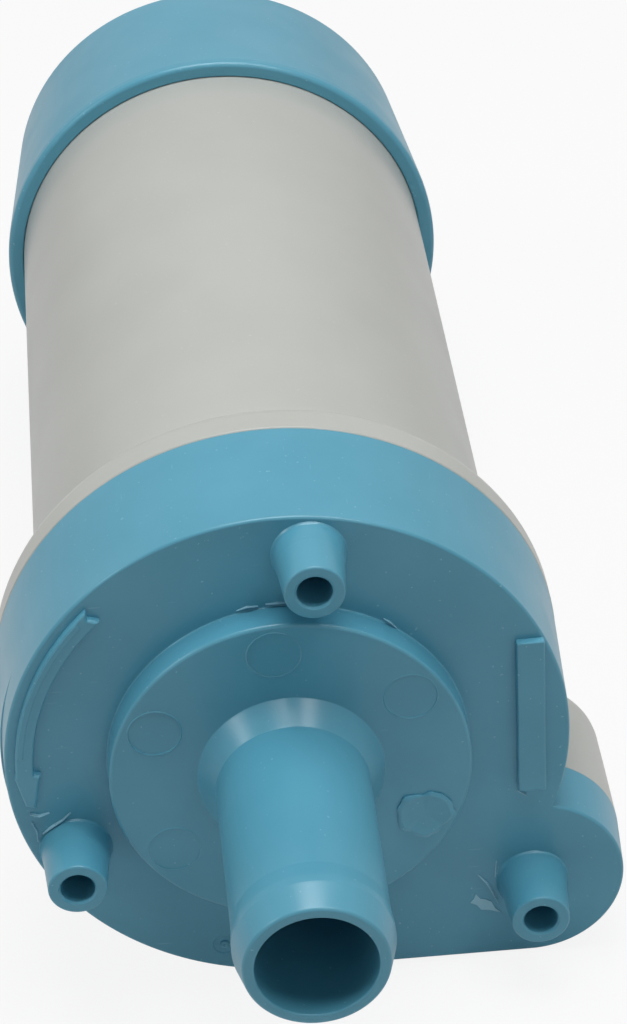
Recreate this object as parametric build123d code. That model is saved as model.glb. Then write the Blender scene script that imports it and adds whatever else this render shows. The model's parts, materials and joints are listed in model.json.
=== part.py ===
# In-line water pump for a caravan: a motor in a sealed pod, with the water flowing round it.
# The pump's axis is Y, the suction nozzle points to -Y and Z is up.
# Pieces are drawn with the cover's front face in the plane of Y = 0. At the end all of them move
# together, so that the origin is on the axis in the plane of the raised disc, at the nozzle's foot.
# All lengths are in millimetres.

import os
from math import acos, atan2, cos, degrees, hypot, radians, sin

from build123d import *

# Clearances
fit = 0.02            # between pieces that sit still in each other
run = 0.03            # radial, shaft in its bushes
seal_run = 0.02       # radial, shaft in the lip of its seal
skirt_fit = 0.05      # radial, skirt over the housing's spigot

# Inlet cover
cover_radius = 35.0
cover_plate = 2.6
cover_edge = 0.4
skirt_depth = 18.4
skirt_wall = 2.2
skirt_growth = 0.95
swell = 0.8
swell_front = 4.5
swell_reach = 0.25
swell_angle = 248.3
lobe_side_inset = 4.95
lobe_rise = 11.45
lobe_radius = 11.8
lobe_growth = 0.6
lobe_depth = 8.2
boss_radius = 22.35
boss_rise = 4.0

# Suction nozzle, for hose of 19 mm bore
nozzle_reach = 40.0
nozzle_bore = 7.2
nozzle_tip = 8.55
nozzle_crest = 9.55
nozzle_land = 1.2
nozzle_lead = 3.9
nozzle_waist = 9.38
nozzle_step = 2.4
nozzle_tube = 9.5
nozzle_foot = 11.55
nozzle_foot_length = 3.15

# Hollow posts on the cover
post_height = 8.2
post_tip = 3.65
post_foot = 4.5
post_foot_length = 5.2
post_hole = 2.15
post_hole_depth = 9.0
post_inset = 5.25
post_angles = (82.6, 203.4)

# Raised marks on the cover
mark_height = 1.0
bar_inset = 4.9
bar_up = 2.9
bar_width = 3.5
bar_length = 22.9
arrow_inset = 3.55
arrow_width = 2.25
arrow_wing_inward = 0.85
arrow_wing_outward = 0.15
arrow_tip_outward = 0.85
arrow_tail_angle = 133.5
arrow_notch_angle = 135
arrow_neck_angle = 177.8
arrow_tip_angle = 187.3

# Impeller
impeller_radius = 24.0
impeller_gap = 0.6
shroud_front = 6.4
shroud_thickness = 1.4
impeller_hub = 5.2
hub_back = 4.0
vane_count = 6
vane_thickness = 1.4
vane_sweep_share = 0.42
vane_turn = 58
vane_root = 0.4
clip_radius = 4.2
clip_thickness = 0.6
shaft_nose = 0.8

# Volute plate with its spiral wall
plate_front = 8.4
plate_thickness = 2.4
plate_gap = 0.1
spiral_start = 25.4
spiral_margin = 0.1
spiral_wall = 1.6
spiral_from = -15
spiral_to = 275
spiral_arcs = 3
seal_boss = 9.0
seal_boss_length = 6.2

# Shaft seal
seal_radius = 6.4
seal_length = 5.2
seal_skin = 1.1
seal_lip_root = 2.9
seal_lip_length = 1.6
seal_shelf = 1.2
seal_spring_wire = 0.35

# Pump housing
collar_step = 1.0
collar_land = 3.1
shoulder_length = 9.0
shoulder_steps = 6
tube_step = 4.5
tube_wall = 3.0
tube_end = 128.0
spigot_wall = 2.95
spigot_throat = 9.2
throat_length = 4.0
rear_spigot_step = 0.9
rear_spigot_length = 20.0
cup_lap = 0.6
cup_end = 27.0
cup_wall = 2.0
cup_round = 2.2
cup_steps = 3
cup_web_start_share = 0.33
cup_skirt_gap = 0.1
passage_width = 14.0

# Square-cut ring seals: half the side of each section
cover_seal_section = 0.75
cover_seal_place = 14.6
cap_seal_section = 0.6
cap_seal_place = 140.0
pod_seal_section = 0.6
pod_seal_radius = 7.4
lid_seal_section = 0.6
tube_seal_section = 0.4
tube_seal_inset = 3.0

# Motor pod
pod_radius = 21.25
pod_wall = 2.2
pod_front_wall = 2.5
pod_length = 91.0
pod_rib = 2.0
pod_rib_start = 30.0
pod_rib_end = 100.0
pod_rib_gap = 0.1
pod_rib_angles = (60, 180, 300)
pod_post = 3.2
pod_post_place = 14.0
pod_post_angles = (30, 150, 270)
screw_radius = 1.25
screw_head = 2.6
screw_head_height = 1.2
screw_point_gap = 1.0

# Pod lid and lead tube
lid_thickness = 3.0
lid_plug = 4.0
lead_tube_radius = 4.2
lead_tube_bore = 2.8
lead_tube_up = 17.0
lead_tube_end = 151.0

# Motor shell
can_wall = 1.2
can_length = 67.5
neck_radius = 4.4
neck_length = 2.1
bush_radius = 3.0
bush_front_length = 4.6
bush_rear_length = 6.5

# Magnets and their clips
magnet_thickness = 3.6
magnet_front = 30.0
magnet_length = 38.0
magnet_arc = 130
clip_wire = 0.8
clip_arc = 12

# Rotor
shaft_radius = 1.6
armature_gap = 0.6
armature_front = 32.0
armature_length = 34.0
armature_sleeve = 3.6
tooth_count = 5
tooth_width = 4.0
shoe_thickness = 1.8
shoe_arc = 58
coil_thickness = 1.25
coil_inner = 4.9
coil_shoe_gap = 0.2
commutator_radius = 4.5
commutator_front = 71.2
commutator_length = 8.0
riser_radius = 5.4
riser_thickness = 1.0
commutator_slot = 0.5
commutator_slot_depth = 0.8
washer_radius = 3.2
washer_thickness = 0.6
end_float = 0.1

# End bell and brush gear
bell_thickness = 3.0
bell_spigot = 4.0
bell_spigot_wall = 2.2
bell_boss = 5.0
bell_boss_length = 3.0
brush_width = 4.0
brush_length = 4.0
brush_height = 4.0
brush_gap = 0.05
arm_thickness = 0.4
arm_width = 3.0
arm_rise = 2.6
arm_flat = 6.0
tab_width = 4.0
tab_thickness = 0.8
tab_reach = 7.0
disc_radius = 4.0
disc_thickness = 2.4
disc_lead = 0.4
disc_gap = 1.5

# Outlet cap
cap_rim_front = 126.0
cap_rim_rise = 2.3
cap_rim_lip = 1.6
cap_back = 156.6
cap_taper = 2.3
cap_back_wall = 3.0
cap_back_round = 1.6

# Outlet nozzle, for hose of 10 mm bore
outlet_reach = 26.0
outlet_bore = 3.5
outlet_tip = 4.6
outlet_crest = 5.6
outlet_land = 2.5
outlet_lead = 3.0
outlet_tube = 5.0
outlet_step = 0.8
outlet_foot = 7.5
outlet_foot_length = 3.0

# Cable inlet
socket_radius = 5.6
socket_length = 7.6
socket_floor = 1.6
gland_boss = 5.2
gland_boss_length = 5.0
gland_radius = 3.9
gland_hole = 2.6
gland_head = 4.9
gland_head_thickness = 1.0
nut_flats = 14.0
nut_end_wall = 1.5
nut_lap = 4.2
nut_hole = 3.4

# Cuts run past a face by this much
overrun = 1.0

# Places that several pieces share
cover_inner = cover_radius - skirt_wall
swell_radius = cover_radius + swell_reach
lobe_across = cover_radius - lobe_side_inset
lobe_down = cover_radius - lobe_rise
post_place = cover_radius - post_inset
bar_across = cover_radius - bar_inset
arrow_inner = cover_radius - arrow_inset
arrow_outer = arrow_inner + arrow_width
arrow_wing_inner = arrow_inner - arrow_wing_inward
arrow_wing_outer = arrow_outer + arrow_wing_outward
arrow_tip = arrow_inner + arrow_tip_outward
plate_radius = cover_inner - plate_gap
spiral_end = plate_radius - spiral_wall - spiral_margin
collar_radius = cover_radius + collar_step
cup_front_radius = lobe_radius + cup_lap
tube_radius = cover_radius - tube_step
rear_spigot_radius = tube_radius - rear_spigot_step
cap_rim_radius = tube_radius + cap_rim_rise
cap_back_radius = cap_rim_radius - cap_taper
lobe_place = hypot(lobe_across, lobe_down)
lobe_angle = degrees(atan2(-lobe_down, lobe_across))
lobe_span = degrees(acos((cover_radius - lobe_radius) / lobe_place))
lobe_reach = lobe_place * sin(radians(lobe_span))
under_angle = lobe_angle - lobe_span
recess_radius = boss_radius - cover_plate
recess_floor = cover_plate - boss_rise
shaft_front = recess_floor + impeller_gap
hub_front = shaft_front + shaft_nose + clip_thickness
plate_back = plate_front + plate_thickness
seal_boss_end = plate_back + seal_boss_length
pod_inner_front = seal_boss_end + pod_front_wall
pod_end = seal_boss_end + pod_length
pod_inner = pod_radius - pod_wall
can_radius = pod_inner - fit
can_inner = can_radius - can_wall
can_end = pod_inner_front + can_length
bell_back = can_end + bell_thickness
neck_front = pod_inner_front - neck_length
front_bush_end = neck_front + bush_front_length
rear_bush_end = bell_back + bell_boss_length
rear_bush_front = rear_bush_end - bush_rear_length
magnet_inner = can_inner - magnet_thickness
armature_radius = magnet_inner - armature_gap
armature_back = armature_front + armature_length
commutator_back = commutator_front + commutator_length
spigot_radius = cover_inner - skirt_fit
spigot_inner = spigot_radius - spigot_wall
tube_inner = tube_radius - tube_wall
cap_inner = tube_inner
rear_spigot_end = tube_end + rear_spigot_length
collar_back = skirt_depth + collar_land
shoulder_back = collar_back + shoulder_length
arm_level = commutator_radius + brush_gap + brush_height
tab_level = arm_level + arm_rise
gland_boss_end = cap_back + gland_boss_length


def polar(radius, angle):
    # A point of the front view: angle 0 is +X and 90 is up
    return (radius * cos(radians(angle)), radius * sin(radians(angle)))


def turned(*points):
    # Solid of revolution about the pump's axis, from (radius, place along the axis)
    return revolve(make_face(Polyline(*points, close=True)), Axis.Y)


def ring(outer, inner, front, back):
    return turned((inner, front), (outer, front), (outer, back), (inner, back))


def disc(radius, front, back):
    return ring(radius, 0, front, back)


def arc_block(outer, inner, front, back, middle, spread):
    # Part of a ring, centred on an angle of the front view
    face = make_face(Polyline((inner, front), (outer, front), (outer, back), (inner, back), close=True))
    block = revolve(face, Axis.Y, revolution_arc=spread)
    return turn_to(block, middle + spread / 2)


def prism(sketch, front, back):
    # A front-view sketch given its thickness along the axis
    return extrude(Plane.XZ.offset(-back) * sketch, back - front)


def turn_to(shape, angle):
    # Turns a shape about the axis, anticlockwise as the front view shows it
    return Rot(0, -angle, 0) * shape


def around(shape, place, angle):
    # A shape on its own axis, moved out to a place of the front view
    across, up = polar(place, angle)
    return Pos(across, 0, up) * shape


def seal_ring(radius, section, place):
    # Square-cut ring seal that fills its groove
    return ring(radius + section, radius - section, place - section, place + section)


def lobe_form(profile, reach, facing):
    # A profile turned about the lobe's axis and drawn out straight along the flat underside,
    # which faces the given angle of the front view
    round_end = revolve(profile, Axis.Y)
    along, rise = polar(1, facing - 90)
    straight = extrude(turn_to(profile, facing), amount=reach, dir=(along, 0, rise))
    return Pos(lobe_across, 0, -lobe_down) * (round_end + straight)


def lobe_block(radius, growth, bevel, front, back):
    # The lobe as a block, a little wider at its back, with its front edge bevelled
    profile = make_face(Polyline(
        (0, front),
        (radius - bevel, front),
        (radius, front + bevel),
        (radius + growth, back),
        (0, back),
        close=True,
    ))
    return lobe_form(profile, lobe_reach, under_angle)


def skirt_body(extra=0):
    # Outside of the round skirt with its draft and the swell of the volute below
    round_part = turned(
        (0, 0),
        (cover_radius - cover_edge + extra, 0),
        (cover_radius + extra, cover_edge),
        (cover_radius + skirt_growth + extra, skirt_depth),
        (0, skirt_depth),
    )
    swell_across, swell_up = polar(swell, swell_angle)
    eccentric = Pos(swell_across, 0, swell_up) * disc(swell_radius + extra, swell_front, skirt_depth)
    return round_part + eccentric


def post_solid():
    return turned(
        (0, cover_plate / 2),
        (post_foot, cover_plate / 2),
        (post_foot, 0),
        (post_tip, -post_foot_length),
        (post_tip, -post_height),
        (0, -post_height),
    )


def post_bore():
    return disc(post_hole, -post_height - overrun, post_hole_depth - post_height)


def post_places():
    places = [(post_place, angle) for angle in post_angles]
    places.append((lobe_place, lobe_angle))
    return places


def curved_arrow():
    # Arrow that bends along the rim, with a notched tail and a swept head
    tail_out = polar(arrow_outer, arrow_tail_angle)
    tail_in = polar(arrow_inner, arrow_tail_angle)
    notch = polar((arrow_outer + arrow_inner) / 2, arrow_notch_angle)
    neck_out = polar(arrow_outer, arrow_neck_angle)
    neck_in = polar(arrow_inner, arrow_neck_angle)
    wing_out = polar(arrow_wing_outer, arrow_neck_angle)
    wing_in = polar(arrow_wing_inner, arrow_neck_angle)
    middle_angle = (arrow_tail_angle + arrow_neck_angle) / 2
    outline = Wire([
        *ThreePointArc(tail_out, polar(arrow_outer, middle_angle), neck_out).edges(),
        *Polyline(neck_out, wing_out, polar(arrow_tip, arrow_tip_angle), wing_in, neck_in).edges(),
        *ThreePointArc(neck_in, polar(arrow_inner, middle_angle), tail_in).edges(),
        *Polyline(tail_in, notch, tail_out).edges(),
    ])
    return prism(make_face(outline), -mark_height, cover_plate / 2)


def nozzle_outline():
    # From the disc's face outwards: foot cone, tube, waist, land and lead-in
    tip = -nozzle_reach
    land_front = tip + nozzle_lead
    land_back = land_front + nozzle_land
    foot = -boss_rise
    return [
        (nozzle_foot, foot),
        (nozzle_tube, foot - nozzle_foot_length),
        (nozzle_waist, land_back + nozzle_step),
        (nozzle_crest, land_back),
        (nozzle_crest, land_front),
        (nozzle_tip, tip),
    ]


def inlet_cover():
    body = skirt_body()
    body += lobe_block(lobe_radius, lobe_growth, cover_edge, 0, lobe_depth)
    body += disc(boss_radius, -boss_rise, cover_plate)
    body += turned((0, 0), (nozzle_foot, 0), *nozzle_outline(), (0, -nozzle_reach))
    body -= disc(cover_inner, cover_plate, skirt_depth + overrun)
    hollow = make_face(Polyline(
        (0, cover_plate),
        (lobe_radius - skirt_wall, cover_plate),
        (lobe_radius - skirt_wall, lobe_depth),
        (0, lobe_depth),
        close=True,
    ))
    body -= lobe_form(hollow, lobe_reach, under_angle)
    body -= disc(recess_radius, recess_floor, cover_plate + overrun)
    body -= disc(nozzle_bore, -nozzle_reach - overrun, cover_plate)
    for place, angle in post_places():
        body += around(post_solid(), place, angle)
    for place, angle in post_places():
        body -= around(post_bore(), place, angle)
    bar = Pos(bar_across, bar_up) * Rectangle(bar_width, bar_length)
    body += prism(bar, -mark_height, cover_plate / 2)
    body += curved_arrow()
    return body


def quarter_steps(start, end, steps):
    # Points of a quarter ellipse from a side that runs along the axis to a face across it
    points = []
    for index in range(steps + 1):
        turn = radians(90) * index / steps
        radius = end[0] + (start[0] - end[0]) * cos(turn)
        points.append((radius, start[1] + (end[1] - start[1]) * sin(turn)))
    return points


def shoulder_form():
    # Collar with a shoulder that flows down to the tube, round at first and hollow at its end
    shoulder = []
    for index in range(shoulder_steps + 1):
        share = index / shoulder_steps
        drop = (collar_radius - tube_radius) * sin(radians(90) * share) ** 2
        shoulder.append((collar_radius - drop, collar_back + shoulder_length * share))
    return turned(
        (0, skirt_depth),
        (collar_radius, skirt_depth),
        *shoulder,
        (tube_radius, tube_end),
        (0, tube_end),
    )


def cup_profile():
    # Half profile of the lobe's cup, with a rounded back
    back_radius = collar_radius - lobe_down
    corner = quarter_steps((back_radius, cup_end - cup_round), (back_radius - cup_round, cup_end), cup_steps)
    return make_face(Polyline(
        (0, lobe_depth),
        (cup_front_radius, lobe_depth),
        (back_radius, skirt_depth),
        *corner,
        (0, cup_end),
        close=True,
    ))


def pump_housing():
    body = shoulder_form()
    web = lobe_across * (1 - cup_web_start_share)
    cup = lobe_form(cup_profile(), web, -90) - skirt_body(cup_skirt_gap)
    body += cup
    body += disc(spigot_radius, plate_back, skirt_depth + overrun)
    body += disc(rear_spigot_radius, tube_end - overrun, rear_spigot_end)
    throat = plate_back + spigot_throat
    bore = turned(
        (0, plate_back - overrun),
        (spigot_inner, plate_back - overrun),
        (spigot_inner, throat),
        (tube_inner, throat + throat_length),
        (tube_inner, rear_spigot_end + overrun),
        (0, rear_spigot_end + overrun),
    )
    body -= bore
    cavity_radius = cup_front_radius - cup_wall
    cavity_end = cup_end - cup_wall
    cavity = Pos(lobe_across, 0, -lobe_down) * disc(cavity_radius, lobe_depth - overrun, cavity_end)
    keep_off = disc(collar_radius + cup_wall / 2, lobe_depth - overrun, skirt_depth + fit)
    body -= cavity - keep_off
    slot = Pos(lobe_place / 2, (skirt_depth + cavity_end) / 2, 0) * Box(
        lobe_place, cavity_end - skirt_depth - overrun, passage_width
    )
    body -= turn_to(slot - disc(pod_radius, 0, cup_end), lobe_angle)
    groove = 2 * cover_seal_section
    body -= ring(
        spigot_radius + overrun,
        cover_inner - groove,
        cover_seal_place - cover_seal_section - fit,
        cover_seal_place + cover_seal_section + fit,
    )
    rear_groove = 2 * cap_seal_section
    body -= ring(
        rear_spigot_radius + overrun,
        rear_spigot_radius + skirt_fit - rear_groove,
        cap_seal_place - cap_seal_section - fit,
        cap_seal_place + cap_seal_section + fit,
    )
    return body


def spiral_radius(angle):
    # Distance of the volute's wall from the axis, growing with the turn of the wheel
    share = (angle - spiral_from) / (spiral_to - spiral_from)
    return spiral_start + (spiral_end - spiral_start) * share


def spiral_side(offset, angles):
    # One side of the wall, as arcs through the spiral's points in pairs
    points = [polar(spiral_radius(angle) + offset, angle) for angle in angles]
    arcs = [ThreePointArc(*points[index:index + 3]) for index in range(0, len(points) - 2, 2)]
    return [edge for arc in arcs for edge in arc.edges()], points[0], points[-1]


def volute_wall():
    step = (spiral_to - spiral_from) / (2 * spiral_arcs)
    angles = [spiral_from + step * index for index in range(2 * spiral_arcs + 1)]
    inside, inner_start, inner_end = spiral_side(0, angles)
    outside, outer_end, outer_start = spiral_side(spiral_wall, angles[::-1])
    outline = Wire([
        *inside,
        *Line(inner_end, outer_end).edges(),
        *outside,
        *Line(outer_start, inner_start).edges(),
    ])
    return prism(make_face(outline), cover_plate + fit, plate_front)


def volute_plate():
    body = disc(plate_radius, plate_front, plate_back)
    body += volute_wall()
    body += disc(seal_boss, plate_front, seal_boss_end)
    seal_seat_end = plate_front + seal_shelf + seal_length
    body -= disc(seal_radius + fit, plate_front - overrun, seal_seat_end)
    body -= disc(seal_radius - seal_skin, seal_seat_end - overrun, seal_boss_end + overrun)
    body -= ring(
        pod_seal_radius + 2 * pod_seal_section,
        pod_seal_radius - fit,
        seal_boss_end - 2 * pod_seal_section,
        seal_boss_end + overrun,
    )
    for angle in pod_post_angles:
        hole = disc(screw_radius + fit, plate_front - overrun, plate_back + overrun)
        hole += disc(screw_head + fit, plate_front - overrun, plate_front + screw_head_height)
        body -= around(hole, pod_post_place, angle)
    return body


def shaft_seal():
    # Rubber ring in its seat with a lip that bends forward along the shaft
    front = plate_front + seal_shelf
    back = front + seal_length
    lip = shaft_radius + seal_run
    lip_front = front + seal_lip_length
    return turned(
        (seal_lip_root, front),
        (seal_radius, front),
        (seal_radius, back),
        (seal_radius - seal_skin, back),
        (seal_radius - seal_skin, front + seal_skin),
        (seal_lip_root + seal_skin, front + seal_skin),
        (seal_lip_root, lip_front + seal_skin),
        (lip, lip_front + seal_skin),
        (lip, lip_front),
    )


def seal_spring():
    front = plate_front + seal_shelf
    level = front + seal_lip_length + seal_skin + seal_spring_wire + fit
    return seal_ring(shaft_radius + seal_run + seal_skin / 2, seal_spring_wire, level)


def impeller_vane():
    # Curved back against the turning direction, of one thickness from root to tip
    root = impeller_hub - vane_root
    lead = []
    trail = []
    for share in (0, vane_sweep_share, 1):
        radius = root + (impeller_radius - root) * share
        half = degrees(vane_thickness / 2 / radius)
        lead.append(polar(radius, half - vane_turn * share))
        trail.append(polar(radius, -half - vane_turn * share))
    outline = Wire([
        *ThreePointArc(*lead).edges(),
        *Line(lead[-1], trail[-1]).edges(),
        *ThreePointArc(*reversed(trail)).edges(),
        *Line(trail[0], lead[0]).edges(),
    ])
    vane = prism(make_face(outline), shaft_front, shroud_front + shroud_thickness / 2)
    step = ring(
        impeller_radius + overrun,
        recess_radius - impeller_gap,
        recess_floor,
        cover_plate + impeller_gap,
    )
    return vane - step


def impeller():
    shroud_back = shroud_front + shroud_thickness
    body = disc(impeller_radius, shroud_front, shroud_back)
    body += disc(impeller_hub, hub_front, shroud_back)
    body += disc(hub_back, shroud_front, plate_front + seal_shelf - impeller_gap)
    vane = impeller_vane()
    for index in range(vane_count):
        body += turn_to(vane, index * 360 / vane_count)
    body -= disc(shaft_radius + fit, recess_floor, plate_front + seal_shelf)
    return body


def impeller_clip():
    return ring(clip_radius, shaft_radius + fit, hub_front - clip_thickness, hub_front)


def motor_shaft():
    return disc(shaft_radius, shaft_front, rear_bush_end - end_float)


def motor_pod():
    body = disc(pod_radius, seal_boss_end, pod_end)
    for angle in pod_rib_angles:
        reach = tube_inner - pod_rib_gap
        rib = Pos(reach / 2, (pod_rib_start + pod_rib_end) / 2, 0) * Box(
            reach, pod_rib_end - pod_rib_start, pod_rib
        )
        body += turn_to(rib, angle)
    for angle in pod_post_angles:
        body += around(disc(pod_post, plate_back, seal_boss_end + overrun), pod_post_place, angle)
    body -= disc(pod_inner, pod_inner_front, pod_end + overrun)
    body -= disc(neck_radius + fit, seal_boss_end - overrun, pod_inner_front + overrun)
    screw_end = seal_boss_end + fit
    for angle in pod_post_angles:
        body -= around(disc(screw_radius + fit, plate_back - overrun, screw_end), pod_post_place, angle)
    return body


def pod_screw():
    head_back = plate_front + screw_head_height
    head = disc(screw_head, plate_front + fit, head_back)
    return head + disc(screw_radius, head_back, seal_boss_end - screw_point_gap)


def pod_lid():
    back = pod_end + lid_thickness
    body = disc(pod_radius, pod_end, back)
    body += disc(pod_inner - fit, pod_end - lid_plug, pod_end)
    tube = disc(lead_tube_radius, pod_end, lead_tube_end)
    body += around(tube, lead_tube_up, 90)
    bore = disc(lead_tube_bore, pod_end - lid_plug - overrun, lead_tube_end + overrun)
    body -= around(bore, lead_tube_up, 90)
    middle = pod_end - lid_plug / 2
    body -= ring(
        pod_inner + overrun,
        pod_inner - 2 * lid_seal_section,
        middle - lid_seal_section - fit,
        middle + lid_seal_section + fit,
    )
    seal_middle = lead_tube_end - tube_seal_inset
    groove = ring(
        lead_tube_radius + overrun,
        lead_tube_radius + fit - 2 * tube_seal_section,
        seal_middle - tube_seal_section - fit,
        seal_middle + tube_seal_section + fit,
    )
    return body - around(groove, lead_tube_up, 90)


def motor_can():
    body = disc(can_radius, pod_inner_front, can_end)
    body += disc(neck_radius, neck_front, pod_inner_front + can_wall)
    body -= disc(can_inner, pod_inner_front + can_wall, can_end + overrun)
    body -= disc(bush_radius + fit, neck_front - overrun, pod_inner_front + can_wall + overrun)
    return body


def field_magnets():
    back = magnet_front + magnet_length
    outer = can_inner - fit
    return [
        arc_block(outer, magnet_inner, magnet_front, back, middle, magnet_arc) for middle in (0, 180)
    ]


def magnet_clips():
    # Spring strips that push the magnets apart, two on each side
    back = magnet_front + magnet_length
    outer = can_inner - fit
    spread = (180 - magnet_arc) / 2 - clip_arc / 2
    blocks = []
    for side in (90, 270):
        legs = arc_block(outer, outer - clip_wire, magnet_front, back, side, 2 * spread)
        cut = arc_block(
            outer + overrun,
            outer - clip_wire - overrun,
            magnet_front + clip_wire * 2,
            back + overrun,
            side,
            2 * spread - clip_arc,
        )
        blocks.append(legs - cut)
    return blocks


def armature_core():
    shoe_inner = armature_radius - shoe_thickness
    front_end = front_bush_end + end_float + washer_thickness
    body = disc(armature_sleeve, front_end, commutator_front - riser_thickness)
    for index in range(tooth_count):
        angle = index * 360 / tooth_count
        tooth = Pos(shoe_inner / 2, (armature_front + armature_back) / 2, 0) * Box(
            shoe_inner + shoe_thickness, armature_length, tooth_width
        )
        body += turn_to(tooth, angle)
        body += arc_block(armature_radius, shoe_inner, armature_front, armature_back, angle, shoe_arc)
    outside = disc(armature_radius, front_end, commutator_front)
    body = body & outside
    return body - disc(shaft_radius + fit, front_end - overrun, commutator_front + overrun)


def armature_coils():
    # Square-cornered coils that end under the curve of the shoes
    inner = coil_inner
    coil_width = tooth_width + 2 * coil_thickness
    shoe_level = ((armature_radius - shoe_thickness) ** 2 - (coil_width / 2) ** 2) ** 0.5
    outer = shoe_level - coil_shoe_gap
    middle = (armature_front + armature_back) / 2
    block = Box(outer - inner, armature_length + 2 * coil_thickness, coil_width)
    block -= Box(outer, armature_length + 2 * fit, tooth_width + 2 * fit)
    coil = Pos((inner + outer) / 2, middle, 0) * block
    return [turn_to(coil, index * 360 / tooth_count) for index in range(tooth_count)]


def commutator():
    tail_end = rear_bush_front - end_float - washer_thickness
    body = disc(commutator_radius, commutator_front - fit, commutator_back)
    body += disc(riser_radius, commutator_front - riser_thickness, commutator_front)
    body += disc(washer_radius, commutator_back - fit, tail_end)
    for index in range(tooth_count):
        slot_angle = (index + 0.5) * 360 / tooth_count
        slot = Pos(commutator_radius, commutator_front + commutator_length / 2, 0) * Box(
            2 * commutator_slot_depth, commutator_length, commutator_slot
        )
        body -= turn_to(slot, slot_angle)
    return body - disc(shaft_radius + fit, commutator_front - riser_thickness - overrun, tail_end + overrun)


def thrust_washers():
    inner = shaft_radius + fit
    front = front_bush_end + end_float
    back = rear_bush_front - end_float
    return [
        ring(washer_radius, inner, front, front + washer_thickness),
        ring(washer_radius, inner, back - washer_thickness, back),
    ]


def bush(front, length):
    return ring(bush_radius, shaft_radius + run, front, front + length)


def end_bell():
    body = disc(can_radius, can_end, bell_back)
    spigot = can_inner - fit
    body += ring(spigot, spigot - bell_spigot_wall, can_end - bell_spigot, can_end + fit)
    body += disc(bell_boss, rear_bush_front, rear_bush_end)
    body -= disc(bush_radius + fit, rear_bush_front - overrun, rear_bush_end + overrun)
    for side in (1, -1):
        slot = Pos(0, (can_end + bell_back) / 2, side * tab_level) * Box(
            tab_width + 2 * fit, bell_thickness + overrun, tab_thickness + 2 * fit
        )
        body -= slot
    return body


def both_sides(shape):
    return [shape, Rot(0, 180, 0) * shape]


def brushes():
    front = commutator_front + (commutator_length - brush_length) / 2
    inner = commutator_radius + brush_gap
    block = Pos(0, front + brush_length / 2, inner + brush_height / 2 - brush_gap) * Box(
        brush_width, brush_length, brush_height + 2 * brush_gap
    )
    block &= Pos(0, front + brush_length / 2, arm_level / 2) * Box(brush_width, brush_length, arm_level)
    return both_sides(block - disc(inner, front - overrun, front + brush_length + overrun))


def brush_arms():
    # Leaf spring from the tab down to the back of the brush
    front = commutator_front + (commutator_length - brush_length) / 2
    flat_end = front + arm_flat
    face = make_face(Polyline(
        (front, arm_level),
        (flat_end, arm_level),
        (can_end, tab_level - tab_thickness / 2),
        (can_end, tab_level - tab_thickness / 2 + arm_thickness),
        (flat_end, arm_level + arm_thickness),
        (front, arm_level + arm_thickness),
        close=True,
    ))
    strip = extrude(Plane.YZ.offset(-arm_width / 2) * face, arm_width)
    return both_sides(strip)


def terminals():
    length = bell_thickness + tab_reach
    tab = Pos(0, can_end + length / 2, tab_level) * Box(tab_width, length, tab_thickness)
    return both_sides(tab)


def suppressor():
    front = rear_bush_end + disc_gap
    body = disc(disc_radius, front, front + disc_thickness)
    reach = tab_level - tab_thickness / 2
    lead = Pos(0, front + disc_thickness / 2, 0) * Cylinder(disc_lead, 2 * reach)
    return body + lead


def cap_wall():
    # Outside of the cap: a bevelled rim at the front and a taper to the back
    taper = (cap_rim_radius - cap_back_radius) / (cap_back - cap_rim_front - cap_rim_lip)
    return turned(
        (0, cap_rim_front),
        (cap_rim_radius - cap_rim_lip / 2, cap_rim_front),
        (cap_rim_radius, cap_rim_front + cap_rim_lip / 2),
        (cap_rim_radius, cap_rim_front + cap_rim_lip),
        (cap_back_radius + taper * cap_back_round, cap_back - cap_back_round),
        (cap_back_radius - cap_back_round, cap_back),
        (0, cap_back),
    )


def outlet_outline():
    # From the cap's back outwards: foot cone, tube, land and lead-in
    tip = cap_back + outlet_reach
    land_back = tip - outlet_lead
    land_front = land_back - outlet_land
    return [
        (0, cap_back - overrun),
        (outlet_foot, cap_back - overrun),
        (outlet_foot, cap_back),
        (outlet_tube, cap_back + outlet_foot_length),
        (outlet_tube, land_front - outlet_step),
        (outlet_crest, land_front),
        (outlet_crest, land_back),
        (outlet_tip, tip),
        (0, tip),
    ]


def outlet_cap():
    body = cap_wall()
    body += turned(*outlet_outline())
    inner_back = cap_back - cap_back_wall
    body -= disc(tube_radius + skirt_fit, cap_rim_front - overrun, tube_end)
    body -= disc(rear_spigot_radius + skirt_fit, tube_end - overrun, rear_spigot_end + fit)
    body -= disc(cap_inner, rear_spigot_end - overrun, inner_back)
    socket = disc(socket_radius, inner_back - socket_length, cap_back - overrun)
    socket += disc(gland_boss, cap_back - overrun, gland_boss_end)
    body += around(socket, lead_tube_up, 90)
    seat = disc(lead_tube_radius + fit, inner_back - socket_length - overrun, lead_tube_end + fit)
    seat += disc(lead_tube_bore, lead_tube_end - overrun, gland_boss_end)
    seat += disc(gland_radius + fit, lead_tube_end + socket_floor, gland_boss_end + overrun)
    body -= around(seat, lead_tube_up, 90)
    body -= disc(outlet_bore, inner_back - overrun, cap_back + outlet_reach + overrun)
    return body


def cable_gland():
    front = lead_tube_end + socket_floor
    body = disc(gland_radius, front, gland_boss_end)
    body += disc(gland_head, gland_boss_end, gland_boss_end + gland_head_thickness)
    body -= disc(gland_hole, front - overrun, gland_boss_end + gland_head_thickness + overrun)
    return around(body, lead_tube_up, 90)


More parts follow.
